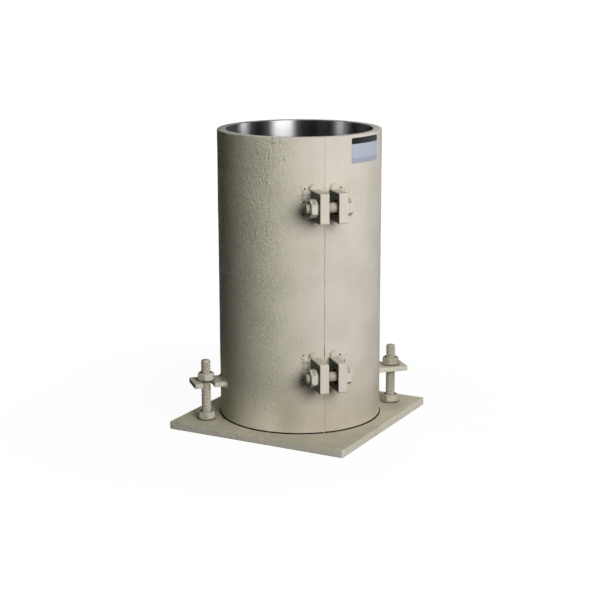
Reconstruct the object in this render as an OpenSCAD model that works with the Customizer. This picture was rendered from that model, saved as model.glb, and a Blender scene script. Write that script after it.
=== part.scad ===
// Split steel mould for casting concrete test cylinders, on its base plate.
// Millimetres. +Z is up and the origin is the centre of the plate's underside.
// The front seam of the two half shells points at the plate's (+X, -Y) corner,
// and the two hold-down studs stand on the other diagonal.

/* [Cast cylinder] */
// Diameter of the cylinder that the mould casts
bore_d = 150; // [120:1:156]
// Length of the cylinder that the mould casts
bore_h = 300; // [240:1:400]

/* [Half shells] */
// Wall thickness of the two half shells
wall_t = 9; // [7:0.5:12]
// Chamfer on the outer edges of the rim and the foot
rim_chamfer = 0.8; // [0.3:0.1:2]
// Chamfer along the outer edges of both seams
seam_chamfer = 0.4; // [0.2:0.1:1]

/* [Base plate] */
// Side of the square base plate
plate_w = 200; // [196:1:260]
// Thickness of the base plate
plate_t = 8; // [6:0.5:14]
// Radius of the base plate's upright corners
plate_corner_r = 1.5; // [1:0.5:10]
// Depth of the machined seat that the half shells stand in
seat_depth = 1; // [0.5:0.1:2]
// Clearance round the half shells in their seat
seat_clear = 1; // [0.9:0.1:1.5]

/* [Thread, nuts and washers] */
// Outside diameter of the studs and clamp bolts
thread_d = 10; // [8:0.5:12]
// Chamfer on the ends of the studs and clamp bolts
thread_chamfer = 1.2; // [0.5:0.1:2]
// Radial clearance in the nuts and in the plate's tapped holes
thread_clear = 0.05; // [0.02:0.01:0.1]
// Size across the flats of the nuts and bolt heads
nut_af = 16; // [16:0.5:18]
// Height of a nut
nut_h = 7; // [6:0.2:10]
// Height of a bolt head
head_h = 6.4; // [5:0.2:8]
// Height that the corner chamfer takes off a nut or a bolt head
hex_chamfer = 1.4; // [0.5:0.1:2]
// Outside diameter of the washers
washer_d = 20; // [19:0.5:22]
// Radial clearance in the washers
washer_clear = 0.25; // [0.1:0.05:0.5]
// Thickness of the washers on the studs
stud_washer_t = 1; // [0.6:0.1:3]
// Thickness of the washers on the clamp bolts
clamp_washer_t = 1; // [0.6:0.1:3]

/* [Hold-down lugs and studs] */
// Distance from the shell's outside to the stud's axis
stud_out = 18; // [17:0.5:20]
// Gap left under the stud in its tapped hole
stud_foot_gap = 2; // [1:0.5:3]
// Thread that stands free above the hold-down nut
stud_free = 13.5; // [4:0.5:20]
// Height of the hold-down lug's underside above the plate
hold_lug_lift = 36.4; // [28:0.1:60]
// Thickness of the hold-down lugs
hold_lug_t = 5; // [4:0.5:8]
// Width of the hold-down lugs
hold_lug_w = 28; // [26:0.5:34]
// Reach of the hold-down lugs out from the shell
hold_lug_reach = 33; // [30:0.5:36]
// Radius of the hold-down lugs' outer corners
hold_lug_corner_r = 2.5; // [1:0.5:5]
// Clearance on each side of the stud in its slot
slot_clear = 1; // [0.9:0.1:1.5]

/* [Clamp lugs and bolts] */
// Height of the clamp lugs
clamp_lug_h = 30; // [26:0.5:36]
// Thickness of the clamp lugs
clamp_lug_t = 9.4; // [8:0.1:12]
// Reach of the clamp lugs out from the shell
clamp_lug_reach = 30; // [28:0.5:34]
// Radius of the clamp lugs' outer corners
clamp_lug_corner_r = 2; // [1:0.5:4]
// Gap between the two lugs of a clamp
clamp_gap = 9.6; // [6:0.1:11]
// Distance of each clamp's middle from the nearer end of the shell
clamp_inset = 65.5; // [50:0.5:90]
// Distance from the shell's outside to the clamp bolt's axis
bolt_out = 19.5; // [17:0.5:19.5]
// Radial clearance of the bolt in the clamp lugs
hole_clear = 2; // [0.5:0.1:2.5]
// Thread that stands free beyond the clamp nut
bolt_free = 3.6; // [1:0.1:10]

/* [Weld beads] */
// Size of the beads above and below a clamp lug
weld_end_r = 5; // [3:0.5:5.5]
// Size of the beads beside a clamp lug and on the hold-down lugs
weld_side_r = 3.5; // [2:0.5:4]
// Length by which each bead stops short of the lug's edge
weld_short = 1; // [0.5:0.5:3]

/* [Label] */
// Width of the blank label, along the shell's curve
label_w = 42; // [20:1:60]
// Height of the blank label
label_h = 25; // [10:1:40]
// Thickness of the blank label
label_t = 0.3; // [0.2:0.1:1]
// Thickness of the adhesive film under the label
label_film = 0.05; // [0.02:0.01:0.2]
// Distance of the label's top edge below the rim
label_drop = 2.5; // [2:0.5:20]
// Angle from the front seam to the label's middle
label_angle = 34.7; // [30:0.1:45]

/* [Hidden] */

$fn = 96;
// A cut runs this far past the face it opens
past = 1;

// Shell, seat and the height of both ends of the shell
bore_r = bore_d / 2;
shell_r = bore_r + wall_t;
seat_r = shell_r + seat_clear;
shell_z = plate_t - seat_depth;
rim_z = shell_z + bore_h;

// Direction of the front seam, measured from +X
seam_angle = -45;
// Half turns that carry one half's pieces onto the other half
front = 0;
rear = 180;

// Heights up the studs, one piece on the next
thread_r = thread_d / 2;
tapped_r = thread_r + thread_clear;
stud_r = shell_r + stud_out;
foot_nut_z = plate_t + stud_washer_t;
hold_lug_z = plate_t + hold_lug_lift;
hold_lug_top = hold_lug_z + hold_lug_t;
hold_nut_z = hold_lug_top + stud_washer_t;
stud_top = hold_nut_z + nut_h + stud_free;
stud_len = stud_top - stud_foot_gap;
slot_w = thread_d + 2 * slot_clear;

// Distances out from the seam plane, along a clamp bolt
lug_inner = clamp_gap / 2;
lug_outer = lug_inner + clamp_lug_t;
clamp_nut_y = lug_outer + clamp_washer_t;
bolt_len = lug_outer + clamp_nut_y + nut_h + bolt_free;
bolt_x = shell_r + bolt_out;
lower_z = shell_z + clamp_inset;
upper_z = rim_z - clamp_inset;

// Angles that turn each nut about its stud, as the spanner left them
left_lock_turn = 6;
left_hold_turn = -5;
right_lock_turn = -26;
right_hold_turn = -15;

paint = [0.80, 0.78, 0.73];
plate_paint = [0.62, 0.61, 0.55];
bare_steel = [0.28, 0.28, 0.27];
label_grey = [0.75, 0.78, 0.82];

// Turns its children so that local +X points at the front seam, or with rear at
// the rear seam.
module seam_frame(turn = front) {
    rotate([0, 0, seam_angle + turn]) children();
}

// Stands its children on the plate at the left stud, and with rear at the right.
module at_stud(turn, z) {
    seam_frame(turn) translate([0, -stud_r, z]) children();
}

// Lays its children along a clamp bolt: local +Z runs outward from the seam plane
// towards the left half, and with rear towards the right half.
module at_bolt(turn, z, y) {
    seam_frame(turn) translate([bolt_x, -y, z]) rotate([90, 0, 0]) children();
}

module hex_blank(h, chamfer_foot) {
    corner_r = nut_af / 2 / cos(30);
    flat_r = nut_af / 2;
    foot_r = chamfer_foot ? flat_r : corner_r;
    foot_h = chamfer_foot ? hex_chamfer : 0;
    intersection() {
        cylinder(r = corner_r, h = h, $fn = 6);
        rotate_extrude() polygon([
            [0, 0], [foot_r, 0], [corner_r, foot_h],
            [corner_r, h - hex_chamfer], [flat_r, h], [0, h]
        ]);
    }
}

module hex_nut() {
    difference() {
        hex_blank(nut_h, true);
        translate([0, 0, -past]) cylinder(r = tapped_r, h = nut_h + 2 * past);
    }
}

module washer(thickness) {
    difference() {
        cylinder(d = washer_d, h = thickness);
        translate([0, 0, -past]) cylinder(r = thread_r + washer_clear, h = thickness + 2 * past);
    }
}

module threaded_rod(length, chamfer_foot) {
    foot_c = chamfer_foot ? thread_chamfer : 0;
    rotate_extrude() polygon([
        [0, 0], [thread_r - foot_c, 0], [thread_r, foot_c],
        [thread_r, length - thread_chamfer], [thread_r - thread_chamfer, length], [0, length]
    ]);
}

// Base plate, with the turned seat and the two tapped holes
module base_plate() {
    inner_w = plate_w - 2 * plate_corner_r;
    color(plate_paint) difference() {
        union() {
            translate([-plate_w / 2, -inner_w / 2, 0]) cube([plate_w, inner_w, plate_t]);
            translate([-inner_w / 2, -plate_w / 2, 0]) cube([inner_w, plate_w, plate_t]);
            for (x = [-1, 1], y = [-1, 1])
                translate([x * inner_w / 2, y * inner_w / 2, 0])
                    cylinder(r = plate_corner_r, h = plate_t);
        }
        translate([0, 0, shell_z]) cylinder(r = seat_r, h = seat_depth + past);
        for (turn = [front, rear])
            at_stud(turn, -past) cylinder(r = tapped_r, h = plate_t + 2 * past);
    }
}

module stud(turn) {
    color(paint) at_stud(turn, stud_foot_gap) threaded_rod(stud_len, true);
}

module stud_washer(turn, z) {
    color(bare_steel) at_stud(turn, z) washer(stud_washer_t);
}

module stud_nut(turn, z, spanner_turn) {
    color(paint) at_stud(turn, z) rotate([0, 0, spanner_turn - seam_angle - turn]) hex_nut();
}

// One half shell: the left one at front, the right one at rear
module half_shell(turn) {
    c = rim_chamfer;
    color(paint) seam_frame(turn) difference() {
        rotate([0, 0, 180]) translate([0, 0, shell_z]) rotate_extrude(angle = 180) polygon([
            [bore_r, 0], [shell_r - c, 0], [shell_r, c],
            [shell_r, bore_h - c], [shell_r - c, bore_h], [bore_r, bore_h]
        ]);
        for (side = [-1, 1])
            translate([0, 0, shell_z - past]) linear_extrude(height = bore_h + 2 * past) polygon([
                [side * (shell_r - seam_chamfer), 0],
                [side * (shell_r + past), past],
                [side * (shell_r + past), -seam_chamfer - past]
            ]);
    }
}

// Room that the shell takes up, cut from whatever is welded to it
module shell_body() {
    cylinder(r = shell_r, h = rim_z);
}

// Flat lug with a slot for the stud. The slot is open at the side that faces
// anticlockwise, so turning the shell clockwise frees it from the slackened nuts.
module hold_down_lug(turn) {
    root_y = shell_r - wall_t;
    tip_y = shell_r + hold_lug_reach;
    corner = hold_lug_corner_r;
    color(paint) seam_frame(turn) difference() {
        translate([0, 0, hold_lug_z]) union() {
            translate([-hold_lug_w / 2, corner - tip_y, 0])
                cube([hold_lug_w, tip_y - corner - root_y, hold_lug_t]);
            translate([corner - hold_lug_w / 2, -tip_y, 0])
                cube([hold_lug_w - 2 * corner, 2 * corner, hold_lug_t]);
            for (side = [-1, 1])
                translate([side * (hold_lug_w / 2 - corner), corner - tip_y, 0])
                    cylinder(r = corner, h = hold_lug_t);
        }
        shell_body();
        translate([0, -stud_r, 0]) cylinder(d = slot_w, h = rim_z);
        translate([0, -stud_r - slot_w / 2, 0]) cube([hold_lug_w, slot_w, rim_z]);
    }
}

// Outline of a clamp lug seen along its bolt, from the shell's middle outwards
module clamp_lug_outline() {
    tip_x = shell_r + clamp_lug_reach;
    root_x = shell_r - wall_t;
    corner = clamp_lug_corner_r;
    translate([root_x, -clamp_lug_h / 2]) square([tip_x - corner - root_x, clamp_lug_h]);
    translate([tip_x - 2 * corner, corner - clamp_lug_h / 2])
        square([2 * corner, clamp_lug_h - 2 * corner]);
    for (side = [-1, 1])
        translate([tip_x - corner, side * (clamp_lug_h / 2 - corner)]) circle(r = corner);
}

// Stretches a clamp lug's outline over its thickness, on one side of the seam plane
module clamp_lug_block(side, z) {
    outer_y = side > 0 ? lug_outer : -lug_inner;
    translate([0, outer_y, z]) rotate([90, 0, 0])
        linear_extrude(height = clamp_lug_t) clamp_lug_outline();
}

// A clamp lug: side -1 carries the nut, side 1 carries the bolt head
module clamp_lug(turn, side, z) {
    color(paint) seam_frame(turn) difference() {
        clamp_lug_block(side, z);
        shell_body();
        translate([bolt_x, 0, z]) rotate([90, 0, 0])
            cylinder(r = thread_r + hole_clear, h = 2 * (lug_outer + past), center = true);
    }
}

module clamp_bolt(turn, z) {
    color(paint) at_bolt(turn, z, -lug_outer) union() {
        threaded_rod(bolt_len, false);
        rotate([180, 0, 0]) rotate([0, 0, 90]) hex_blank(head_h, false);
    }
}

module clamp_washer(turn, z) {
    color(bare_steel) at_bolt(turn, z, lug_outer) washer(clamp_washer_t);
}

module clamp_nut(turn, z) {
    color(paint) at_bolt(turn, z, clamp_nut_y) rotate([0, 0, 90]) hex_nut();
}

// Beads along the top, the bottom and the outer side of one clamp lug
module clamp_lug_welds(turn, side, z) {
    middle_y = side * (lug_inner + lug_outer) / 2;
    end_len = clamp_lug_t - 2 * weld_short;
    side_len = clamp_lug_h - 2 * weld_short;
    side_x = sqrt(pow(shell_r, 2) - pow(lug_outer, 2));
    seam_frame(turn) difference() {
        union() {
            for (end = [-1, 1])
                translate([shell_r, middle_y, z + end * clamp_lug_h / 2]) rotate([90, 0, 0])
                    cylinder(r = weld_end_r, h = end_len, center = true);
            translate([side_x, side * lug_outer, z])
                cylinder(r = weld_side_r, h = side_len, center = true);
        }
        clamp_lug_block(side, z);
        shell_body();
    }
}

// Beads along the top and the underside of one hold-down lug
module hold_down_lug_welds(turn) {
    half_angle = asin((hold_lug_w / 2 - weld_short) / shell_r);
    seam_frame(turn) rotate([0, 0, -90 - half_angle]) rotate_extrude(angle = 2 * half_angle) {
        translate([shell_r, hold_lug_top]) intersection() {
            circle(r = weld_side_r);
            square(weld_side_r);
        }
        translate([shell_r, hold_lug_z]) intersection() {
            circle(r = weld_side_r);
            translate([0, -weld_side_r]) square(weld_side_r);
        }
    }
}

// All the weld beads of one half: the left one at front, the right one at rear
module half_welds(turn) {
    color(paint) {
        for (z = [lower_z, upper_z]) {
            clamp_lug_welds(turn, -1, z);
            clamp_lug_welds(turn + rear, 1, z);
        }
        hold_down_lug_welds(turn);
    }
}

// Plain label stuck to the right half, under the rim
module blank_label() {
    span = label_w / shell_r * 180 / PI;
    color(label_grey) seam_frame() rotate([0, 0, label_angle - span / 2])
        rotate_extrude(angle = span)
            translate([shell_r + label_film, rim_z - label_drop - label_h])
                square([label_t, label_h]);
}

base_plate();
stud(front);  // left_stud
stud(rear);  // right_stud
stud_washer(front, plate_t);  // left_foot_washer
stud_washer(rear, plate_t);  // right_foot_washer
stud_nut(front, foot_nut_z, left_lock_turn);  // left_lock_nut
stud_nut(rear, foot_nut_z, right_lock_turn);  // right_lock_nut
half_shell(front);  // left_half_shell
half_shell(rear);  // right_half_shell
hold_down_lug(front);  // left_hold_down_lug
hold_down_lug(rear);  // right_hold_down_lug
stud_washer(front, hold_lug_top);  // left_hold_down_washer
stud_washer(rear, hold_lug_top);  // right_hold_down_washer
stud_nut(front, hold_nut_z, left_hold_turn);  // left_hold_down_nut
stud_nut(rear, hold_nut_z, right_hold_turn);  // right_hold_down_nut
clamp_lug(front, -1, upper_z);  // left_upper_front_lug
clamp_lug(front, -1, lower_z);  // left_lower_front_lug
clamp_lug(rear, 1, upper_z);  // left_upper_rear_lug
clamp_lug(rear, 1, lower_z);  // left_lower_rear_lug
clamp_lug(front, 1, upper_z);  // right_upper_front_lug
clamp_lug(front, 1, lower_z);  // right_lower_front_lug
clamp_lug(rear, -1, upper_z);  // right_upper_rear_lug
clamp_lug(rear, -1, lower_z);  // right_lower_rear_lug
clamp_bolt(front, upper_z);  // upper_front_bolt
clamp_bolt(front, lower_z);  // lower_front_bolt
clamp_bolt(rear, upper_z);  // upper_rear_bolt
clamp_bolt(rear, lower_z);  // lower_rear_bolt
clamp_washer(front, upper_z);  // upper_front_washer
clamp_washer(front, lower_z);  // lower_front_washer
clamp_washer(rear, upper_z);  // upper_rear_washer
clamp_washer(rear, lower_z);  // lower_rear_washer
clamp_nut(front, upper_z);  // upper_front_nut
clamp_nut(front, lower_z);  // lower_front_nut
clamp_nut(rear, upper_z);  // upper_rear_nut
clamp_nut(rear, lower_z);  // lower_rear_nut
half_welds(front);  // left_welds
half_welds(rear);  // right_welds
blank_label();
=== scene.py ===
import math
import random

import bmesh
import bpy
import numpy as np
from mathutils import Matrix, Vector, noise


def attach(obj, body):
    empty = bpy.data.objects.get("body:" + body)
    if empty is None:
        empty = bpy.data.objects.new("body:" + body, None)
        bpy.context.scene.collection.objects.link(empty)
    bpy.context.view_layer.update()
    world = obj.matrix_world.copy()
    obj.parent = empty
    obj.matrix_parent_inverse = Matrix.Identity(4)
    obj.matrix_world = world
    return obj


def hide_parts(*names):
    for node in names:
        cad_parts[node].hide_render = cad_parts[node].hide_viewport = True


# Looks of the split steel mould on its base plate. Lengths are written in
# millimetres and scaled to metres as each mesh is made.

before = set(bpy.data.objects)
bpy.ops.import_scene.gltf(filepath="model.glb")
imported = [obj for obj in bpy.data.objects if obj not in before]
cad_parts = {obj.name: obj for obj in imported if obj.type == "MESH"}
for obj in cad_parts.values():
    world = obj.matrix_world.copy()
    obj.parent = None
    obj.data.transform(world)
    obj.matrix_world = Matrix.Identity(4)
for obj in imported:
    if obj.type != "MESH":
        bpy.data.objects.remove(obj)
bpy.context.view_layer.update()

MM = 0.001
TAU = 2 * math.pi

# Sizes: the main ones are the CAD source's, and the finest are for the looks alone
BORE_R = 75
SHELL_R = 84
SHELL_Z = 7
RIM_Z = 307
RIM_CHAMFER = 0.8
RIM_INNER_CHAMFER = 0.25
SEAM_CHAMFER = 0.4
PLATE_W = 200
PLATE_T = 8
PLATE_CORNER = 1.5
PLATE_EDGE_R = 0.9
SEAT_R = SHELL_R + 1
THREAD_R = 5
TAPPED_R = 5.05
THREAD_PITCH = 1.5
THREAD_CHAMFER = 1.2
THREAD_DEPTH = 0.7
NUT_AF = 16
NUT_H = 7
HEAD_H = 6.4
WASHER_R = 10
WASHER_HOLE_R = 5.25
WASHER_EDGE = 0.25
STUD_WASHER_T = 1
CLAMP_WASHER_T = 1
STUD_R = SHELL_R + 18
STUD_FOOT = 2
STUD_TOP = 70.9
FOOT_NUT_Z = PLATE_T + STUD_WASHER_T
HOLD_LUG_Z = 44.4
HOLD_LUG_T = 5
HOLD_LUG_W = 28
HOLD_LUG_TIP = 117
HOLD_LUG_CORNER = 2.5
HOLD_LUG_EDGE_R = 0.7
SLOT_W = 12
HOLD_NUT_Z = HOLD_LUG_Z + HOLD_LUG_T + STUD_WASHER_T
CLAMP_LUG_H = 30
CLAMP_LUG_T = 9.4
CLAMP_LUG_TIP = SHELL_R + 30
CLAMP_LUG_CORNER = 2
CLAMP_LUG_EDGE_R = 0.8
LUG_ROOT = SHELL_R - 3
LUG_INNER = 4.8
LUG_OUTER = LUG_INNER + CLAMP_LUG_T
LUG_HOLE_R = 7
BOLT_X = SHELL_R + 19.5
BOLT_LEN = 40
BOLT_THREAD_FROM = 14
LEVELS = {"lower": 72.5, "upper": 241.5}
LABEL_W = 42
LABEL_H = 25
LABEL_T = 0.3
LABEL_FILM = 0.05
LABEL_CORNER = 1.2
LABEL_TOP = 304.5
LABEL_ANGLE = 34.7
# How far below the label's top its dark band ends and its darker foot starts
LABEL_BAND = (6.2, 5.9)
LABEL_FOOT = (20.4, 19.8)

SEAM_ANGLE = -45
FRONT = 0
REAR = 180
NUT_TURNS = {"left_lock": 6, "left_hold": -5, "right_lock": -26, "right_hold": -15}

# Fineness of the meshes
NUT_SIDES = 120
ROD_SIDES = 36
HEAD_SIDES = 60
WASHER_SIDES = 96
HOLE_SIDES = 48
SEAT_SIDES = 160
SHELL_COLUMNS = 220
SHELL_ROWS = 260
LABEL_COLUMNS = 40
LABEL_ROWS = 8
PLATE_CORNER_STEPS = 8
LUG_CORNER_STEPS = 6
SLOT_STEPS = 24
THREAD_STEP = THREAD_PITCH / 8
WELD_VOXEL = 0.5


def spin(degrees, axis="Z"):
    return Matrix.Rotation(math.radians(degrees), 4, axis)


def shift(x, y, z):
    return Matrix.Translation((x, y, z))


def seam(turn):
    """Frame with local +X at the front seam, or with REAR at the rear seam."""
    return spin(SEAM_ANGLE + turn)


def at_bolt(turn, z, y):
    """Frame of a clamp bolt: local +Z runs outward from the seam plane."""
    return seam(turn) @ shift(BOLT_X, -y, z) @ spin(90, "X")


# Node helpers


def map_range(tree, value, low, high, out_low, out_high):
    """Turns a value smoothly from out_low at low to out_high at high."""
    node = tree.nodes.new("ShaderNodeMapRange")
    node.interpolation_type = "SMOOTHSTEP"
    ends = {"From Min": low, "From Max": high, "To Min": out_low, "To Max": out_high}
    for name, number in ends.items():
        node.inputs[name].default_value = number
    tree.links.new(value, node.inputs["Value"])
    return node.outputs["Result"]


def larger(tree, a, b):
    node = tree.nodes.new("ShaderNodeMath")
    node.operation = "MAXIMUM"
    tree.links.new(a, node.inputs[0])
    tree.links.new(b, node.inputs[1])
    return node.outputs["Value"]


def mix_shaders(tree, factor, a, b):
    node = tree.nodes.new("ShaderNodeMixShader")
    for socket, source in zip(node.inputs, (factor, a, b)):
        tree.links.new(source, socket)
    return node.outputs["Shader"]


class Nodes:
    """A material's node tree, with short calls for the nodes used here."""

    def __init__(self, name):
        self.material = bpy.data.materials.new(name)
        self.material.use_nodes = True
        self.tree = self.material.node_tree
        self.shader = self.tree.nodes["Principled BSDF"]
        self.place = self.tree.nodes.new("ShaderNodeTexCoord").outputs["Object"]

    def link(self, a, b):
        self.tree.links.new(a, b)

    def give(self, socket, value):
        """Sets a socket to a number or a colour, or links another node's output to it."""
        if isinstance(value, (int, float)):
            socket.default_value = value
        elif isinstance(value, tuple):
            socket.default_value = (*value, 1)
        else:
            self.link(value, socket)

    def stretch(self, scale):
        node = self.tree.nodes.new("ShaderNodeMapping")
        node.inputs["Scale"].default_value = scale
        self.link(self.place, node.inputs["Vector"])
        return node.outputs["Vector"]

    def noise(self, size_mm, detail=3.0, vector=None):
        node = self.tree.nodes.new("ShaderNodeTexNoise")
        node.inputs["Scale"].default_value = 1 / (size_mm * MM)
        node.inputs["Detail"].default_value = detail
        self.link(vector or self.place, node.inputs["Vector"])
        return node.outputs["Fac"]

    def cells(self, size_mm):
        node = self.tree.nodes.new("ShaderNodeTexVoronoi")
        node.inputs["Scale"].default_value = 1 / (size_mm * MM)
        self.link(self.place, node.inputs["Vector"])
        return node.outputs["Distance"]

    def axis(self, name):
        node = self.tree.nodes.new("ShaderNodeSeparateXYZ")
        self.link(self.place, node.inputs["Vector"])
        return node.outputs[name]

    def along(self, direction):
        """Distance of a point along a level direction, in metres."""
        node = self.tree.nodes.new("ShaderNodeVectorMath")
        node.operation = "DOT_PRODUCT"
        node.inputs[1].default_value = direction
        self.link(self.place, node.inputs[0])
        return node.outputs["Value"]

    def ramp(self, value, low, high, out_low=0.0, out_high=1.0):
        return map_range(self.tree, value, low, high, out_low, out_high)

    def rise(self, length, low_mm, high_mm, out_low=0.0, out_high=1.0):
        """A ramp over a length, with its ends in millimetres."""
        return self.ramp(length, low_mm * MM, high_mm * MM, out_low, out_high)

    def math(self, operation, a, b):
        node = self.tree.nodes.new("ShaderNodeMath")
        node.operation = operation
        for socket, value in zip(node.inputs, (a, b)):
            self.give(socket, value)
        return node.outputs["Value"]

    def times(self, a, b):
        return self.math("MULTIPLY", a, b)

    def mix(self, factor, a, b, blend="MIX"):
        """From a, where the factor is 0, to b, or to their product with MULTIPLY."""
        node = self.tree.nodes.new("ShaderNodeMix")
        node.data_type = "RGBA"
        node.blend_type = blend
        self.give(node.inputs["Factor"], factor)
        self.give(node.inputs["A"], a)
        self.give(node.inputs["B"], b)
        return node.outputs["Result"]

    def bump(self, height, distance_mm, under=None):
        """Relief from a height, on top of the relief under it."""
        node = self.tree.nodes.new("ShaderNodeBump")
        node.inputs["Distance"].default_value = distance_mm * MM
        self.link(height, node.inputs["Height"])
        if under is not None:
            self.link(under, node.inputs["Normal"])
        return node.outputs["Normal"]

    def finish(self, colour, roughness, normal=None, metallic=0.0, specular=0.5):
        sockets = self.shader.inputs
        self.give(sockets["Base Color"], colour)
        self.give(sockets["Roughness"], roughness)
        if normal is not None:
            self.link(normal, sockets["Normal"])
        sockets["Metallic"].default_value = metallic
        sockets["Specular IOR Level"].default_value = specular
        return self.material


# Paint

# Sizes of the marks in the paint
MOTTLE = 38
GLOSS_PATCH = 6
SPECK = 1.4
FLECK = 2.2
FLECK_PATCH = 9
PIT = 3.6
PIT_PATCH = 6
PEEL = 1.4
LUMP = 3.0
NIB = 2.3
# How deep each of them stands out or goes in on a surface with a grain of 1
PEEL_DEPTH = 1.7
LUMP_DEPTH = 0.3
NIB_DEPTH = 0.7
PIT_DEPTH = 0.8

PAINT_SPECULAR = 0.06
BRIGHTEST = 0.95
# The paint is rougher and more weathered on the side that faces this way, turned from the key light,
# and there it also takes the olive tint of painted shade and flecks of painted light and shade
SHADED_SIDE = (-0.883, -0.469, 0)
SHADE_OLIVE = (0.955, 1.0, 0.86)
# The darkening towards the shell's foot, the painted bounce light on its foot and the black painted shade
# at its edge
FOOT_DARKENING = (0.82, 0.80, 0.73)
FOOT_BOUNCE_LIGHT = (0.93, 0.84, 0.69)
FOOT_SHADE = (0.02, 0.019, 0.017)
# Height of the black band of painted shade round the shell's foot, and how softly it ends
FOOT_SHADE_TOP = PLATE_T + 0.9
FOOT_SHADE_EDGE = 0.5
# Where each kind of weathering and painted light and shade starts and where it is full, along the shaded
# side or up the shell
WEAR_AND_SHADE_ACROSS = (-8, 50)
WEAR_AND_SHADE_UP = (60, 240)
SHADE_OLIVE_ACROSS = (-25, 60)
DARKENING_DOWN = (95, 15)
BOUNCE_DOWN = (60, 18)
BOUNCE_ACROSS = (12, 40)
BOUNCE_BACK = (76, 58)
PALE_SEAM_UP = (255, 270)


def scaled(colour, share):
    return tuple(min(c * share, BRIGHTEST) for c in colour)


def wear_and_shade(n):
    """How weathered and how shaded the paint is, up to 1: most on the shaded side and towards the rim."""
    side = n.rise(n.along(SHADED_SIDE), *WEAR_AND_SHADE_ACROSS, 0.12, 1.0)
    return n.times(side, n.rise(n.axis("Z"), *WEAR_AND_SHADE_UP, 0.6, 1.0))


def pits(n, worn_and_shaded):
    """Round pits in patches of the weathered paint, which paint() darkens as painted shade."""
    inside = n.math("SUBTRACT", 1.0, n.ramp(n.cells(PIT), 0.1, 0.3))
    kept = n.ramp(n.noise(PIT_PATCH, 1), 0.48, 0.58)
    return n.times(n.times(inside, kept), worn_and_shaded)


def flecked(n, base, colour, shade, worn_and_shaded):
    """Adds small dark specks, and on the shaded side dark and light flecks, painted shade and painted
    light of the grain.
    """
    base = n.mix(n.ramp(n.noise(SPECK, 2), 0.66, 0.78, 0.0, 0.35), base, scaled(shade, 0.62))
    flecks = n.noise(FLECK, 2)
    patchy = n.times(n.ramp(n.noise(FLECK_PATCH, 2), 0.38, 0.62, 0.25, 1.0), worn_and_shaded)
    dark = n.times(n.ramp(flecks, 0.33, 0.46, 0.5, 0.0), patchy)
    base = n.mix(dark, base, scaled(shade, 0.55))
    light = n.times(n.ramp(flecks, 0.54, 0.68, 0.0, 0.6), worn_and_shaded)
    return n.mix(light, base, scaled(colour, 1.3))


def foot_light_and_shade(n, base, mottle, worn_and_shaded):
    """Darkens the shell's foot away from the shaded side, paints bounce light on it on the shaded side,
    and paints its edge black as shade.
    """
    height = n.axis("Z")
    side = n.along(SHADED_SIDE)
    darkening = n.times(n.rise(height, *DARKENING_DOWN), n.ramp(worn_and_shaded, 0.2, 0.55, 1.0, 0.0))
    darkening = n.times(darkening, n.ramp(mottle, 0.3, 0.6, 0.75, 1.0))
    base = n.mix(darkening, base, FOOT_DARKENING, "MULTIPLY")
    bounce_light = n.times(n.rise(height, *BOUNCE_DOWN), n.rise(side, *BOUNCE_ACROSS))
    bounce_light = n.times(bounce_light, n.rise(side, *BOUNCE_BACK, 0.0, 0.68))
    base = n.mix(bounce_light, base, FOOT_BOUNCE_LIGHT)
    return n.mix(n.rise(height, FOOT_SHADE_TOP, FOOT_SHADE_TOP + FOOT_SHADE_EDGE), FOOT_SHADE, base)


def paint(name, colour, shade, grain=1.0, pit_shade=0.5, shade_tint=False, foot=False):
    """Thick sprayed enamel: a soft mottle, specks, flecks, pits, fine relief and an
    uneven gloss. The pits and the flecks on the shaded side are painted shade and light, and with a shade
    tint the paint turns olive towards the shaded side, as painted shade."""
    n = Nodes(name)
    mottle = n.noise(MOTTLE)
    worn_and_shaded = wear_and_shade(n)
    pitted = pits(n, worn_and_shaded)
    base = n.mix(n.ramp(mottle, 0.35, 0.7), colour, shade)
    base = flecked(n, base, colour, shade, worn_and_shaded)
    # The pits are painted darker, as shade
    base = n.mix(n.times(pitted, pit_shade), base, scaled(shade, 0.4))
    # The olive tint towards the shaded side is painted shade
    if shade_tint:
        base = n.mix(n.rise(n.along(SHADED_SIDE), *SHADE_OLIVE_ACROSS), base, SHADE_OLIVE, "MULTIPLY")
    # The shell's foot gets a darkening, painted bounce light and a black band of painted shade
    if foot:
        base = foot_light_and_shade(n, base, mottle, worn_and_shaded)
    rough = n.ramp(n.noise(GLOSS_PATCH), 0.3, 0.7, 0.5, 0.68)
    peel = n.bump(n.times(n.noise(PEEL, 1), worn_and_shaded), PEEL_DEPTH * grain)
    uneven = n.bump(n.times(n.noise(LUMP, 1), worn_and_shaded), LUMP_DEPTH * grain, peel)
    nibs = n.ramp(n.noise(NIB, 1), 0.55, 0.8)
    nibbed = n.bump(n.times(nibs, worn_and_shaded), NIB_DEPTH * grain, uneven)
    relief = n.bump(n.times(pitted, -1.0), PIT_DEPTH * grain, nibbed)
    return n.finish(base, rough, relief, specular=PAINT_SPECULAR)


def seam_paint(name):
    """Paint along the parting line, rubbed dark where the lower clamp draws it tight
    and paler towards the rim."""
    n = Nodes(name)
    low = LEVELS["lower"] + CLAMP_LUG_H / 2
    height = n.axis("Z")
    rubbed = n.times(n.rise(height, low + 16, low + 6), n.rise(height, low, low + 1))
    base = n.mix(n.ramp(n.noise(14, 2), 0.35, 0.65), (0.56, 0.50, 0.43), (0.47, 0.41, 0.35))
    base = n.mix(n.rise(height, *PALE_SEAM_UP), base, (0.60, 0.55, 0.48))
    base = n.mix(rubbed, base, (0.14, 0.12, 0.10))
    return n.finish(base, 0.6, specular=PAINT_SPECULAR)


# Bare steel and the label


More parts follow.
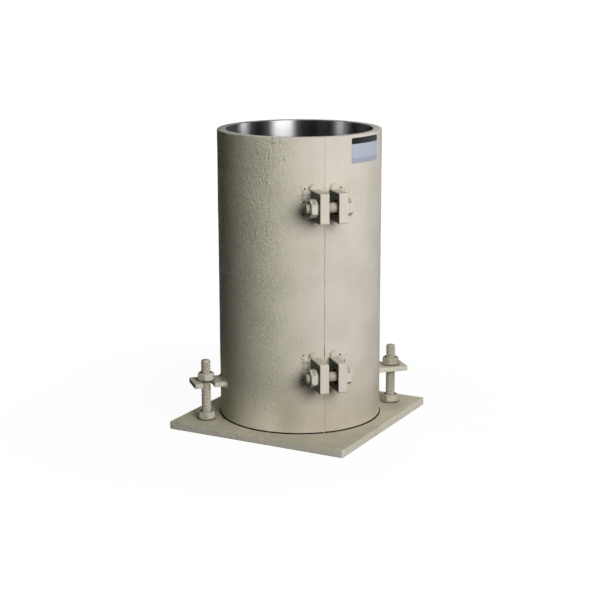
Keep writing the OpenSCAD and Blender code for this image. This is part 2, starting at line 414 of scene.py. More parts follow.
def machined_bore(name):
    """Turned and honed steel: rings round the bore that stretch each reflection upright."""
    n = Nodes(name)
    streaks = n.noise(3.0, vector=n.stretch((1.0, 1.0, 0.03)))
    darkening = n.ramp(n.noise(26), 0.35, 0.7)
    colour = n.mix(darkening, (0.39, 0.38, 0.385), (0.34, 0.335, 0.34))
    rough = n.ramp(streaks, 0.3, 0.7, 0.32, 0.36)
    tangent = n.tree.nodes.new("ShaderNodeTangent")
    tangent.direction_type = "UV_MAP"
    n.link(tangent.outputs["Tangent"], n.shader.inputs["Tangent"])
    n.shader.inputs["Anisotropic"].default_value = 0.88
    n.shader.inputs["Anisotropic Rotation"].default_value = 0.25
    return n.finish(colour, rough, metallic=1.0)


def turned_seat(name):
    """The plate's turned face under the bore, with rings round the axis."""
    n = Nodes(name)
    ring_pitch = 1.1
    across = n.tree.nodes.new("ShaderNodeVectorMath")
    across.operation = "LENGTH"
    n.link(n.stretch((1.0, 1.0, 0.0)), across.inputs[0])
    wave = n.math("SINE", n.times(across.outputs["Value"], TAU / (ring_pitch * MM)), 0.0)
    darkening = n.ramp(n.noise(30, 4), 0.3, 0.7)
    colour = n.mix(darkening, (0.36, 0.36, 0.36), (0.20, 0.20, 0.19))
    rough = n.ramp(n.noise(8), 0.3, 0.7, 0.3, 0.45)
    return n.finish(colour, rough, n.bump(wave, 0.01), metallic=1.0)


def dark_steel_and_shade(name):
    """Dark steel with a little bare metal rubbed through: blackened steel on the washers' edges, where it
    is partly painted shade under the nuts, and painted shade in the nuts' thread holes.
    """
    n = Nodes(name)
    rub = n.ramp(n.noise(3, 4), 0.58, 0.75, 0.0, 0.6)
    colour = n.mix(rub, (0.030, 0.031, 0.031), (0.12, 0.12, 0.115))
    rough = n.ramp(n.noise(1.5, 2), 0.3, 0.7, 0.42, 0.6)
    return n.finish(colour, rough, n.bump(n.noise(1.1, 2), 0.05), metallic=0.6)


def label_vinyl(name):
    """Plain two-tone label: a dark band over a pale grey-blue field."""
    n = Nodes(name)
    height = n.axis("Z")
    band = n.rise(height, *(LABEL_TOP - drop for drop in LABEL_BAND))
    above_foot = n.rise(height, *(LABEL_TOP - drop for drop in LABEL_FOOT))
    scuff = n.ramp(n.noise(5, 4), 0.4, 0.75, 0.0, 0.35)
    field = n.mix(scuff, (0.41, 0.45, 0.53), (0.47, 0.51, 0.58))
    field = n.mix(above_foot, (0.33, 0.36, 0.44), field)
    faded = n.ramp(n.noise(4), 0.55, 0.75, 0.0, 0.3)
    ink = n.mix(faded, (0.008, 0.008, 0.009), (0.03, 0.03, 0.032))
    colour = n.mix(band, field, ink)
    rough = n.ramp(n.noise(3, 2), 0.3, 0.7, 0.4, 0.5)
    return n.finish(colour, rough, n.bump(n.noise(4), 0.05), specular=0.15)


# All the materials: each paint with its colour and its darker shade

PAINT = paint("shell_paint", (0.635, 0.585, 0.515), (0.575, 0.53, 0.455), shade_tint=True, foot=True)
# The rim is painted paler, for paint rubbed thin there and for a painted sheen
RIM_WEAR_AND_SHEEN = paint("rim_wear_and_painted_sheen", (0.88, 0.835, 0.79), (0.82, 0.775, 0.73), grain=0.5, pit_shade=0.3)
SEAM_PAINT = seam_paint("seam_paint")
# Painted shade in the lugs' holes, in the groove round the shell and on the weld pinholes
HOLLOW_SHADE = paint("hollow_painted_shade", (0.03, 0.028, 0.025), (0.015, 0.014, 0.013), grain=0.5)
LUG_PAINT = paint("lug_paint", (0.66, 0.61, 0.53), (0.60, 0.555, 0.475), grain=0.6, pit_shade=0.3)
# Painted shade on the clamp lugs' faces under the nuts and in the gaps between them
NUT_SIDE_SHADE = paint("nut_side_painted_shade", (0.30, 0.30, 0.27), (0.24, 0.24, 0.215), grain=0.5)
GAP_SHADE = paint("gap_painted_shade", (0.17, 0.17, 0.155), (0.13, 0.13, 0.12), grain=0.5)
WELD_PAINT = paint("weld_paint", (0.60, 0.55, 0.475), (0.50, 0.46, 0.385), grain=0.6, pit_shade=0.8, shade_tint=True)
FASTENER_PAINT = paint("fastener_paint", (0.66, 0.61, 0.53), (0.58, 0.535, 0.455), grain=0.5)
# Painted shade on the two flats that each clamp nut and bolt head turns up
TOP_FLAT_SHADE = paint("top_flat_painted_shade", (0.42, 0.38, 0.325), (0.35, 0.315, 0.265), grain=0.5)
# Painted shade in the roots of the threads
THREAD_ROOT_SHADE = paint("thread_root_painted_shade", (0.25, 0.23, 0.185), (0.18, 0.165, 0.13), grain=0.5)
STUD_PAINT = paint("stud_paint", (0.69, 0.63, 0.51), (0.59, 0.54, 0.43), grain=0.5)
FOOT_NUT_PAINT = paint("foot_nut_paint", (0.53, 0.49, 0.40), (0.46, 0.425, 0.345), grain=0.5)
# A darker paint for the right hold-down nut
DARKER_NUT_PAINT = paint("darker_nut_paint", (0.43, 0.395, 0.315), (0.36, 0.33, 0.26), grain=0.5)
# Painted shade on the bolts' shanks through the lugs and on the heads' undersides
SHANK_SHADE = paint("shank_painted_shade", (0.47, 0.435, 0.355), (0.40, 0.37, 0.30), grain=0.5)
# The plate's faces are painted with the olive tint of their light
PLATE_TINTED_PAINT = paint("plate_paint", (0.62, 0.575, 0.455), (0.50, 0.47, 0.37), grain=0.6, pit_shade=0.6)
EDGE_PAINT = paint("plate_edge_paint", (0.72, 0.67, 0.565), (0.63, 0.585, 0.49), grain=0.8)
BORE = machined_bore("bore_steel")
SEAT = turned_seat("seat_steel")
# Dark steel on the washers' edges, partly painted shade under the nuts, and painted shade in the nuts'
# thread holes
DARK_STEEL_AND_SHADE = dark_steel_and_shade("dark_steel_and_shade")
LABEL = label_vinyl("label_vinyl")


# Mesh helpers


def add_piece(name, mesh, body, node, materials, sharp=35, weighted=False):
    """Puts a mesh in millimetres and in the row frame into the scene, riding on its body."""
    mesh.name = name
    for m in materials:
        mesh.materials.append(m)
    mesh.transform(Matrix.Scale(MM, 4))
    mesh.polygons.foreach_set("use_smooth", [True] * len(mesh.polygons))
    mesh.set_sharp_from_angle(angle=math.radians(sharp))
    mesh.update()
    piece = bpy.data.objects.new(name, mesh)
    bpy.context.scene.collection.objects.link(piece)
    if weighted:
        modifier = piece.modifiers.new("even_normals", "WEIGHTED_NORMAL")
        modifier.keep_sharp = True
    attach(piece, body)
    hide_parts(node)


def mesh_from(bm, matrix=None):
    bmesh.ops.recalc_face_normals(bm, faces=bm.faces)
    mesh = bpy.data.meshes.new("look")
    bm.to_mesh(mesh)
    bm.free()
    if matrix is not None:
        mesh.transform(matrix)
    return mesh


def lathe(radius_at, rows, count, matrix, material_at, closed=False):
    """Skins a stack of rings. radius_at(row, angles) gives each ring's radii, and
    rows gives each ring's height. An open stack gets a flat cap at both ends, and
    material_at(row, column) picks each face's material."""
    angles = np.arange(count) * TAU / count
    bm = bmesh.new()
    rings = []
    for i, z in enumerate(rows):
        r = radius_at(i, angles)
        points = [(a * math.cos(t), a * math.sin(t), z) for a, t in zip(r, angles)]
        rings.append([bm.verts.new(point) for point in points])
    pairs = list(zip(range(len(rings) - 1), range(1, len(rings))))
    if closed:
        pairs.append((len(rings) - 1, 0))
    for i, j in pairs:
        for k in range(count):
            m = (k + 1) % count
            face = bm.faces.new((rings[i][k], rings[i][m], rings[j][m], rings[j][k]))
            face.material_index = material_at(i, k)
    if not closed:
        bm.faces.new(rings[0])
        bm.faces.new(rings[-1])
    return mesh_from(bm, matrix)


def arc(cx, cy, r, start, stop, count):
    """Points of an arc, angles in degrees, both ends included."""
    found = []
    for i in range(count + 1):
        t = math.radians(start + (stop - start) * i / count)
        found.append((cx + r * math.cos(t), cy + r * math.sin(t)))
    return found


def circle(cx, cy, r, count):
    return arc(cx, cy, r, 0, 360, count)[:-1]


def ring(bm, points, z):
    verts = [bm.verts.new((x, y, z)) for x, y in points]
    edges = [bm.edges.new((verts[i], verts[(i + 1) % len(verts)])) for i in range(len(verts))]
    return verts, edges


def wall(bm, low, high, material=0):
    count = len(low)
    for i in range(count):
        j = (i + 1) % count
        bm.faces.new((low[i], low[j], high[j], high[i])).material_index = material


def cap(bm, edges, material=0):
    made = bmesh.ops.triangle_fill(bm, use_beauty=True, edges=edges)
    for f in made["geom"]:
        if isinstance(f, bmesh.types.BMFace):
            f.material_index = material


def round_edges(bm, width, keep=lambda edge: True):
    """Rounds the edges that turn sharply, apart from those that keep() leaves out."""
    turns_sharply = math.radians(40)
    bmesh.ops.recalc_face_normals(bm, faces=bm.faces)
    edges = []
    for e in bm.edges:
        if len(e.link_faces) == 2 and e.calc_face_angle() > turns_sharply and keep(e):
            edges.append(e)
    bmesh.ops.bevel(
        bm, geom=edges, offset=width, segments=3, profile=0.5,
        affect="EDGES", clamp_overlap=False, loop_slide=True,
    )


def prism(outline, holes, low, high, matrix, edge_r, looks=(0, 0, 0)):
    """Block with a flat outline, round holes through it and rounded edges. A hole is
    its centre and radius, and looks are the materials of the low face, the high face
    and the holes."""
    low_look, high_look, hole_look = looks
    bm = bmesh.new()
    bottom, top = [], []
    for points in [outline, *[circle(cx, cy, r, HOLE_SIDES) for cx, cy, r in holes]]:
        low_verts, low_edges = ring(bm, points, low)
        high_verts, high_edges = ring(bm, points, high)
        wall(bm, low_verts, high_verts)
        bottom += low_edges
        top += high_edges
    cap(bm, bottom, low_look)
    cap(bm, top, high_look)
    round_edges(bm, edge_r)
    for face in bm.faces:
        middle = face.calc_center_median()
        if any(math.hypot(middle.x - cx, middle.y - cy) < r + edge_r for cx, cy, r in holes):
            face.material_index = hole_look
    return mesh_from(bm, matrix)


# Hexagons and threads

# Heights and largest radii of a hexagon's end: its flat face's rim and its chamfer cone
CONE = [(0.0, 7.2), (0.0, 7.45), (0.12, 7.66), (0.4, 8.0), (0.7, 8.34)]
CONE += [(1.0, 8.66), (1.3, 8.93), (1.6, 9.14), (1.8, 9.22)]
# Heights and radii of the countersink at the end of a nut's thread hole
SINK = [(0.0, 6.3), (0.35, 5.9), (0.8, 5.3), (1.1, TAPPED_R)]
# Heights and largest radii of a bolt head's underside, in to its shank
HEAD_UNDERSIDE = [(-0.25, 9.22), (0.0, 9.12), (0.0, 5.3)]
# Share of a thread's depth below which its root is painted dark as shade
THREAD_DARK = 0.72


def hex_radius(angles):
    """Radius of a hexagon with slightly rounded corners, its first corner at angle 0."""
    sharpness = 160
    total = np.zeros_like(angles)
    for k in range(6):
        flat = math.radians(30 + 60 * k)
        total += np.maximum(np.cos(angles - flat), 0) ** sharpness
    return NUT_AF / 2 / total ** (1 / sharpness)


def is_top_flat(k, count):
    """Whether a column lies on one of the two flats that a clamp's hexagon turns up."""
    flat = 60
    degrees = 360 * (k + 0.5) / count
    return degrees < flat or degrees > 360 - flat


def thread_wave(z, angle):
    """0 on a thread's crest and 1 at its root."""
    return 0.5 + 0.5 * np.cos(TAU * (z / THREAD_PITCH) - angle)


def film(z, angles, seed, stretch):
    """Uneven thickness of the paint round a thread at one height, about -1 to 1."""
    r = 2
    places = [Vector((r * math.cos(t), r * math.sin(t), z * stretch + seed)) for t in angles]
    return np.array([noise.noise(p) for p in places])


def end_limit(z, top):
    """Largest radius allowed near a rod's chamfered end."""
    slope = 0.95
    return THREAD_R - THREAD_CHAMFER + max(top - z, 0) * slope


def nut_mesh(matrix, rubbed=False):
    """Chamfered hexagon nut with a countersunk thread hole at both ends. Its looks are the
    outside, the thread hole with its countersinks, painted dark as shade, and with rubbed set the two
    flats it turns up, painted darker as shade."""
    half = [(z, r, False) for z, r in reversed(SINK)] + [(z, r, True) for z, r in CONE]
    profile = half + [(NUT_H - z, r, outside) for z, r, outside in reversed(half)]
    middle = len(half) - 1

    def radius(i, angles):
        z, limit, outside = profile[i]
        if outside:
            return np.minimum(hex_radius(angles), limit)
        return np.full_like(angles, limit)

    def material(i, k):
        if i < len(SINK) - 1 or i >= len(profile) - len(SINK):
            return 1
        return 2 if rubbed and i == middle and is_top_flat(k, NUT_SIDES) else 0

    rows = [z for z, limit, outside in profile]
    return lathe(radius, rows, NUT_SIDES, matrix, material, closed=True)


def stud_mesh(matrix, seed):
    """Threaded rod, whose looks are its crests and the roots of its thread, painted dark as shade."""
    length = STUD_TOP - STUD_FOOT
    film_t = 0.10
    rows = [0.0, *np.arange(THREAD_STEP, length, THREAD_STEP), length]

    def radius(i, angles):
        z = rows[i]
        r = THREAD_R - THREAD_DEPTH * thread_wave(z, angles)
        r = r - film_t * (film(z, angles, seed, 0.35) + 0.45)
        r = np.minimum(r, end_limit(z, length))
        return np.minimum(r, THREAD_R - THREAD_CHAMFER + z)

    def material(i, k):
        return 1 if thread_wave(rows[i], TAU * k / ROD_SIDES) > THREAD_DARK else 0

    return lathe(radius, rows, ROD_SIDES, matrix, material)


def bolt_mesh(matrix, seed):
    """Hexagon bolt: head below local zero, plain shank, then its thread. Its looks are
    the outside, the thread's roots, painted dark as shade, the head's two upward flats, painted darker as
    shade, and the head's underside and the shank through the lugs, painted darker as shade."""
    run_out = 2.5
    slack = 0.04
    film_t = 0.06
    head = [(-HEAD_H, 0.5)] + [(-HEAD_H + z, r) for z, r in CONE] + HEAD_UNDERSIDE
    threaded = np.arange(BOLT_THREAD_FROM + THREAD_STEP, BOLT_LEN, THREAD_STEP)
    plain = (0.3, 5.0, 10.0, BOLT_THREAD_FROM)
    shank = [(z, THREAD_R) for z in (*plain, *threaded, BOLT_LEN)]
    rows = [z for z, r in head + shank]
    limits = [r for z, r in head + shank]

    def radius(i, angles):
        z = rows[i]
        if i in (0, len(head) - 1):
            return np.full_like(angles, limits[i])
        if i < len(head):
            return np.minimum(hex_radius(angles), limits[i])
        grown = min(max((z - BOLT_THREAD_FROM) / run_out, 0), 1)
        r = THREAD_R - slack - THREAD_DEPTH * grown * thread_wave(z, angles)
        r = r - film_t * (film(z, angles, seed, 0.4) + 0.5)
        return np.minimum(r, end_limit(z, BOLT_LEN))

    def material(i, k):
        if i >= len(head) - 1 and rows[i] < 2 * LUG_OUTER:
            return 3
        if rows[i] > BOLT_THREAD_FROM and thread_wave(rows[i], TAU * k / HEAD_SIDES) > THREAD_DARK:
            return 1
        return 2 if i == len(CONE) and is_top_flat(k, HEAD_SIDES) else 0

    return lathe(radius, rows, HEAD_SIDES, matrix @ spin(90), material)


def washer_mesh(thickness, matrix):
    """Flat washer, whose looks are its edges, dark steel that is partly painted shade, and its faces."""
    e = WASHER_EDGE
    e3 = e * 0.3
    t = thickness
    h, w = WASHER_HOLE_R, WASHER_R
    profile = [(e, h), (0, h + e), (0, w - e), (e3, w - e3), (e, w)]
    profile += [(t - e, w), (t - e3, w - e3), (t, w - e), (t, h + e), (t - e, h)]
    rows = [z for z, r in profile]

    def radius(i, angles):
        return np.full_like(angles, profile[i][1])

    def material(i, k):
        return 1 if rows[i] == rows[(i + 1) % len(rows)] else 0

    return lathe(radius, rows, WASHER_SIDES, matrix, material, closed=True)


# Base plate


def plate_mesh():
    """Plate with its turned seat and tapped holes. Its looks are the faces, painted with the
    olive tint of their light, the outer edge, the turned steel and the groove round the shell, painted
    dark as shade."""
    edge_look, steel_look, groove_look = 1, 2, 3
    half = PLATE_W / 2
    c = half - PLATE_CORNER
    outline = []
    for cx, cy, start in ((c, -c, -90), (c, c, 0), (-c, c, 90), (-c, -c, 180)):
        outline += arc(cx, cy, PLATE_CORNER, start, start + 90, PLATE_CORNER_STEPS)
    bm = bmesh.new()
    low, low_edges = ring(bm, outline, 0)
    high, high_edges = ring(bm, outline, PLATE_T)
    wall(bm, low, high, edge_look)
    seat = circle(0, 0, SEAT_R, SEAT_SIDES)
    seat_low = ring(bm, seat, SHELL_Z)[0]
    seat_high, seat_high_edges = ring(bm, seat, PLATE_T)
    wall(bm, seat_low, seat_high, groove_look)
    inner, inner_edges = ring(bm, circle(0, 0, SHELL_R - 1, SEAT_SIDES), SHELL_Z)
    for turn in (FRONT, REAR):
        stud = seam(turn) @ Vector((0, -STUD_R, 0))
        hole = circle(stud.x, stud.y, TAPPED_R, HOLE_SIDES)
        hole_low, hole_low_edges = ring(bm, hole, 0)
        hole_high, hole_high_edges = ring(bm, hole, PLATE_T)
        wall(bm, hole_low, hole_high, steel_look)
        low_edges += hole_low_edges
        high_edges += hole_high_edges
    cap(bm, low_edges)
    cap(bm, high_edges + seat_high_edges)
    wall(bm, inner, seat_low, groove_look)
    cap(bm, inner_edges, steel_look)

    def outer(edge):
        near_side = c - 0.1
        beyond_seat = max(abs(v.co.x) + abs(v.co.y) for v in edge.verts) > half + 1
        return beyond_seat and all(max(abs(v.co.x), abs(v.co.y)) > near_side for v in edge.verts)

    round_edges(bm, PLATE_EDGE_R, outer)
    return mesh_from(bm)


# Half shells


def shell_mesh(turn):
    """Half of the shell as one closed skin: a fine lumpy outside, a smooth bore. Its
    looks are the skin, the bore, the strip at the seam and the rim, which is paler for paint rubbed thin
    and for a painted sheen."""
    skin_look, bore_look, seam_look, rim_look = range(4)
    edge = math.degrees(math.asin(SEAM_CHAMFER / SHELL_R))
    middle = np.linspace(-180, 0, SHELL_COLUMNS + 1)[1:-1]
    angles = [-180.0, -180.0 + edge, *middle, -edge, 0.0]
    c = RIM_CHAMFER
    outer = [(SHELL_Z, -c), (SHELL_Z + 0.3 * c, -0.35 * c), (SHELL_Z + c, 0.0)]
    outer += [(z, 0.0) for z in np.linspace(SHELL_Z + c, RIM_Z - c, SHELL_ROWS)[1:-1]]
    outer += [(RIM_Z - c, 0.0), (RIM_Z - 0.3 * c, -0.35 * c), (RIM_Z, -c)]
    inner = [(RIM_Z, RIM_INNER_CHAMFER), (RIM_Z - RIM_INNER_CHAMFER, 0.0), (SHELL_Z, 0.0)]
    to_row = seam(turn)
    bm = bmesh.new()
    columns = []
    for i, degrees in enumerate(angles):
        t = math.radians(degrees)
        direction = to_row @ Vector((math.cos(t), math.sin(t), 0))
        at_seam = i in (0, len(angles) - 1)
        column = []
        for z, inset in outer:
            r = SHELL_R + inset - (SEAM_CHAMFER if at_seam else 0)
            p = direction * r
            p.z = z
            column.append(bm.verts.new(p + direction * lumps(p)))
        for z, inset in inner:
            p = direction * (BORE_R + inset)
            p.z = z
            column.append(bm.verts.new(p))
        columns.append(column)
    total = len(outer) + len(inner)
    rim_start = len(outer) - 2

    def look(k, at_seam):
        if k < rim_start:
            return seam_look if at_seam else skin_look
        if k < len(outer):
            return rim_look
        return bore_look if k < total - 1 else skin_look

    for a, b in zip(columns, columns[1:]):
        at_seam = a is columns[0] or b is columns[-1]
        for k in range(total):
            m = (k + 1) % total
            bm.faces.new((a[k], b[k], b[m], a[m])).material_index = look(k, at_seam)
    bm.faces.new(columns[0])
    bm.faces.new(list(reversed(columns[-1])))
    uv = bm.loops.layers.uv.new("round_bore")
    for face in bm.faces:
        for loop in face.loops:
            p = loop.vert.co
            loop[uv].uv = (math.atan2(p.y, p.x) / TAU + 0.5, p.z / RIM_Z)
    return mesh_from(bm)


def lumps(p):
    """How far the thick paint and the rough tube under it stand out, in millimetres.
    The skin is nearly even under the label."""
    label_half_angle = 15
    broad = noise.noise(p / 22) * 0.10
    turned = math.degrees(math.atan2(p.y, p.x)) - SEAM_ANGLE - LABEL_ANGLE
    if abs(turned) < label_half_angle and p.z > LABEL_TOP - LABEL_H - 0.5:
        return broad * 0.3 - 0.06
    middle = noise.noise(p / 6.5 + Vector((3, 1, 7))) * 0.05
    fine = noise.noise(p / 3.0 + Vector((5, 2, 8))) * 0.06
    nib = max(noise.noise(p / 3.4 + Vector((9, 4, 2))) - 0.38, 0) * 0.5
    return broad + middle + fine + nib - 0.1


# Lugs


def clamp_lug_mesh(turn, side, z):
    """Side -1 carries the nut and side 1 the bolt head. Its looks are the outside, and the
    face under the nut, the face in the gap and the hole, each painted dark as shade."""
    plain, nut_side, gap, in_hole = range(4)
    half = CLAMP_LUG_H / 2
    c = CLAMP_LUG_CORNER
    tip = CLAMP_LUG_TIP - c
    lower_corner = arc(tip, -half + c, c, -90, 0, LUG_CORNER_STEPS)
    upper_corner = arc(tip, half - c, c, 0, 90, LUG_CORNER_STEPS)
    outline = [(LUG_ROOT, -half), *lower_corner, *upper_corner, (LUG_ROOT, half)]
    hole = (BOLT_X, 0, LUG_HOLE_R)
    near = LUG_INNER if side > 0 else -LUG_OUTER
    far = LUG_OUTER if side > 0 else -LUG_INNER
    looks = (plain, gap, in_hole) if side > 0 else (gap, nut_side, in_hole)
    place = seam(turn) @ shift(0, 0, z) @ spin(90, "X")
    return prism(outline, [hole], -far, -near, place, CLAMP_LUG_EDGE_R, looks)


def hold_down_lug_mesh(turn):
    """Lug with a slot that opens anticlockwise, seen from above."""
    half = HOLD_LUG_W / 2
    c = HOLD_LUG_CORNER
    slot = SLOT_W / 2
    tip = -HOLD_LUG_TIP
    outline = [(-half, -LUG_ROOT), *arc(-half + c, tip + c, c, 180, 270, LUG_CORNER_STEPS)]
    outline += arc(half - c, tip + c, c, 270, 360, LUG_CORNER_STEPS)
    outline += [(half, -STUD_R - slot), *arc(0, -STUD_R, slot, 270, 90, SLOT_STEPS)]
    outline += [(half, -STUD_R + slot), (half, -LUG_ROOT)]
    top = HOLD_LUG_Z + HOLD_LUG_T
    return prism(outline, [], HOLD_LUG_Z, top, seam(turn), HOLD_LUG_EDGE_R)


# Weld beads and spatter: each drop is its centre and radius, in the frame of its seam


def on_shell(y):
    """Distance of the shell's skin from its middle, at a distance y from the seam plane."""
    return math.sqrt(SHELL_R ** 2 - y ** 2)


def dome_drops(rng, middle, top, side):
    """A dome on top of a clamp lug: a ring of drops and one in its middle."""
    around = 7
    radius = 3.4
    lift = 1.7
    squash = 0.7
    centre, spread = (middle - 2.3, 1.3) if side < 0 else (middle + 0.4, 1.9)
    drops = []
    for k in range(around + 1):
        t = k * TAU / around
        reach = spread if k < around else 0
        y = centre + reach * math.cos(t)
        h = top + lift + squash * reach * math.sin(t)
        drops.append((Vector((on_shell(y) - 0.5, y, h)), radius + rng.uniform(-0.25, 0.25)))
    return drops


def under_drops(rng, middle, bottom):
    """A thin bead along a clamp lug's underside."""
    steps = 8
    width = 8
    drops = []
    for k in range(steps + 1):
        y = middle + (k / steps - 0.5) * width
        drops.append((Vector((on_shell(y) + 0.2, y, bottom - 0.1)), rng.uniform(1.2, 1.7)))
    return drops


def ridge_drops(rng, top, side):
    """Ridges on the shell beside a clamp lug: rows of drops, each with a smaller one
    below it."""
    rows, row_step = 13, 2.3
    columns, column_step = 4, 2.2
    first = LUG_OUTER + 0.6
    radius, taper = 1.45, 0.12
    stray = 0.5
    drops = []
    for row in range(rows):
        for column in range(columns):
            y = side * (first + column_step * column + rng.uniform(-stray, stray))
            h = top - 1 - row_step * row + rng.uniform(-stray, stray)
            r = radius - taper * column + rng.uniform(-0.35, 0.4)
            drops.append((Vector((on_shell(y), y, h)), r))
            y -= side * 0.7
            drops.append((Vector((on_shell(y), y, h - 0.9)), 0.85 * r))
    return drops


def spatter_drops(rng, z, side):
    """Single drops on the shell, fewer the further they are from the lug."""
    count = 36
    mean_reach, furthest = 3.0, 10
    drops = []
    for k in range(count):
        y = side * (LUG_OUTER + 8 + min(rng.expovariate(1 / mean_reach), furthest))
        r = rng.uniform(0.4, 1.0)
        drops.append((Vector((on_shell(y) - 0.25 * r, y, z + rng.uniform(-17, 18))), r))
    return drops


def lug_drops(rng, z, side):
    top = z + CLAMP_LUG_H / 2
    bottom = z - CLAMP_LUG_H / 2
    middle = side * (LUG_INNER + LUG_OUTER) / 2
    drops = dome_drops(rng, middle, top, side)
    drops += under_drops(rng, middle, bottom)
    drops += ridge_drops(rng, top, side)
    drops += spatter_drops(rng, z, side)
    return drops


def pit_places(rng, z, side):
    """Pinholes among the ridges beside one clamp lug, as small drops painted dark as shade."""
    count, step = 6, 6.2
    places = []
    for k in range(count):
        y = side * (LUG_OUTER + rng.uniform(1, 9))
        h = z + CLAMP_LUG_H / 2 + 1.5 - k * step + rng.uniform(-1.2, 1.2)
        places.append((Vector((on_shell(y) + 0.95, y, h)), rng.uniform(0.6, 0.95)))
    return places


def hold_down_drops(rng):
    """Beads along the shell over and under a hold-down lug."""
    steps = 22
    span = math.degrees(math.asin((HOLD_LUG_W / 2 - 1) / SHELL_R))
    drops = []
    for top in (0, 1):
        for k in range(steps + 1):
            t = math.radians(-90 + (k / steps * 2 - 1) * span)
            z = HOLD_LUG_Z - 0.2 + top * (HOLD_LUG_T + 0.4)
            r = 1.5 + rng.uniform(-0.35, 0.5)
            drops.append((Vector((SHELL_R * math.cos(t), SHELL_R * math.sin(t), z)), r))
    return drops


def fuse(drops):
    """Melts overlapping drops into one lumpy skin."""
    bm = bmesh.new()
    for p, r in drops:
        bmesh.ops.create_icosphere(bm, subdivisions=2, radius=r, matrix=Matrix.Translation(p))
    mesh = bpy.data.meshes.new("drops")
    bm.to_mesh(mesh)
    bm.free()
    rough = bpy.data.objects.new("drops", mesh)
    bpy.context.scene.collection.objects.link(rough)
    remesh = rough.modifiers.new("fuse", "REMESH")
    remesh.mode = "VOXEL"
    remesh.voxel_size = WELD_VOXEL
    smooth = rough.modifiers.new("flow", "SMOOTH")
    smooth.factor = 0.5
    smooth.iterations = 1
    evaluated = rough.evaluated_get(bpy.context.evaluated_depsgraph_get())
    fused = bpy.data.meshes.new_from_object(evaluated)
    bpy.data.objects.remove(rough)
    return fused


def weld_mesh(turn, seed):
    """All the weld beads of one half, each group of them fused by itself. Their looks
    are the paint and the pinholes, painted dark as shade."""
    roughness = 0.22
    rough_size = 1.8
    pit_look = 1
    flattened = Matrix.Diagonal((0.5, 1, 1, 1))
    rng = random.Random(seed)
    groups = [(Matrix.Identity(4), hold_down_drops(rng))]
    pinholes = []
    for z in LEVELS.values():
        for end, side in ((FRONT, -1), (REAR, 1)):
            groups.append((spin(end), lug_drops(rng, z, side)))
            for p, r in pit_places(rng, z, side):
                pinholes.append((spin(end) @ Matrix.Translation(p), r))
    bm = bmesh.new()
    for place, drops in groups:
        fused = fuse(drops)
        fused.transform(place)
        bm.from_mesh(fused)
        bpy.data.meshes.remove(fused)
    for v in bm.verts:
        v.co += v.normal * noise.noise(v.co / rough_size + Vector((seed, 0, 0))) * roughness
    for place, r in pinholes:
        made = bmesh.ops.create_icosphere(bm, subdivisions=2, radius=r, matrix=place @ flattened)
        for v in made["verts"]:
            for face in v.link_faces:
                face.material_index = pit_look
    return mesh_from(bm, seam(turn))


# Label


def label_mesh():
    """Thin curved sheet with rounded corners, just off the shell's skin."""
    start = math.radians(SEAM_ANGLE + LABEL_ANGLE) - LABEL_W / SHELL_R / 2
    low = LABEL_TOP - LABEL_H
    corner = LABEL_CORNER
    bm = bmesh.new()
    layers = []
    for r in (SHELL_R + LABEL_FILM, SHELL_R + LABEL_FILM + LABEL_T):
        grid = []
        for i in range(LABEL_COLUMNS + 1):
            s = i / LABEL_COLUMNS * LABEL_W
            inset = max(corner - s, corner - (LABEL_W - s), 0)
            cut = corner - math.sqrt(max(corner ** 2 - inset ** 2, 0))
            t = start + s / SHELL_R
            column = []
            for z in np.linspace(low + cut, LABEL_TOP - cut, LABEL_ROWS + 1):
                column.append(bm.verts.new((r * math.cos(t), r * math.sin(t), z)))
            grid.append(column)
        layers.append(grid)
    inner, outer = layers
    for grid, flip in ((inner, True), (outer, False)):
        for a, b in zip(grid, grid[1:]):
            for k in range(LABEL_ROWS):
                quad = (a[k], b[k], b[k + 1], a[k + 1])
                bm.faces.new(tuple(reversed(quad)) if flip else quad)

    def border(grid):
        tops = [column[-1] for column in grid[1:-1]]
        bottoms = [column[0] for column in grid[-2:0:-1]]
        return grid[0] + tops + grid[-1][::-1] + bottoms

    wall(bm, border(inner), border(outer))
    return mesh_from(bm)


# All the pieces


def add_half(side_name, turn, seed, hold_paint, stud_paint):
    """One half shell with its hold-down lug and welds, and the stud that holds it."""
    body = side_name + "_half"
    hold_down = side_name + "_hold_down"
    at_stud = seam(turn) @ shift(0, -STUD_R, 0)
    add_piece(
        side_name + "_half_shell_look", shell_mesh(turn),
        body, side_name + "_half_shell", [PAINT, BORE, SEAM_PAINT, RIM_WEAR_AND_SHEEN],
    )
    add_piece(
        hold_down + "_lug_look", hold_down_lug_mesh(turn),
        body, hold_down + "_lug", [LUG_PAINT], weighted=True,
    )
    add_piece(
        side_name + "_weld_beads", weld_mesh(turn, seed),
        body, side_name + "_welds", [WELD_PAINT, HOLLOW_SHADE], sharp=180,
    )
    add_piece(
        side_name + "_stud_look", stud_mesh(at_stud @ shift(0, 0, STUD_FOOT), seed),
        "base", side_name + "_stud", [stud_paint, THREAD_ROOT_SHADE], sharp=60,
    )
    for node, z, ridden in (
        (side_name + "_foot_washer", PLATE_T, "base"),
        (hold_down + "_washer", HOLD_LUG_Z + HOLD_LUG_T, hold_down + "_washer"),
    ):
        add_piece(
            node + "_look", washer_mesh(STUD_WASHER_T, at_stud @ shift(0, 0, z)),
            ridden, node, [DARK_STEEL_AND_SHADE, FOOT_NUT_PAINT],
        )
    for node, key, z, ridden, nut_paint in (
        (side_name + "_lock_nut", "_lock", FOOT_NUT_Z, "base", FOOT_NUT_PAINT),
        (hold_down + "_nut", "_hold", HOLD_NUT_Z, hold_down + "_nut", hold_paint),
    ):
        turned = at_stud @ shift(0, 0, z) @ spin(NUT_TURNS[side_name + key] - SEAM_ANGLE - turn)
        add_piece(
            node + "_look", nut_mesh(turned),
            ridden, node, [nut_paint, DARK_STEEL_AND_SHADE],
        )


